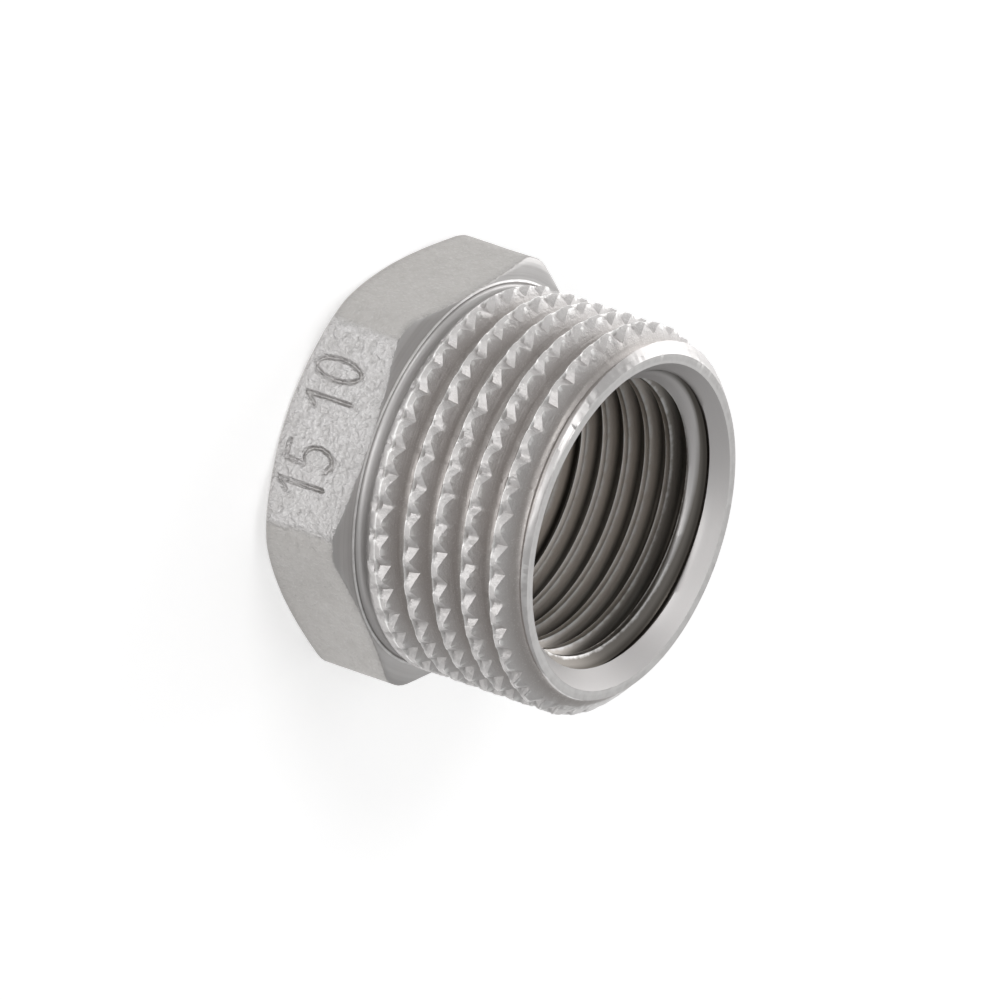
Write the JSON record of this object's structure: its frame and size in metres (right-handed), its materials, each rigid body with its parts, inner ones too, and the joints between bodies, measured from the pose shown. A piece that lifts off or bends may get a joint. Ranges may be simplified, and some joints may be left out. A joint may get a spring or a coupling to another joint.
{
  "type": "hex bushing",
  "caption": "Hexagon-headed reducing bushing with a notched parallel male pipe thread and a threaded through bore, for joining two sizes of pipe.",
  "frame": {"origin": "on the bore's axis, in the plane of the head's back face", "axes": "+Z along the bore's axis from the head to the end of the male thread; +X and -X out of two opposite flats of the head, the marked flat facing -X; +Y through a corner"},
  "size_m": [0.021, 0.0234, 0.0156],
  "materials": {
    "nickel_brass": "satin"
  },
  "bodies": {
    "root": {"bushing": "nickel_brass"}
  },
  "joints": []
}
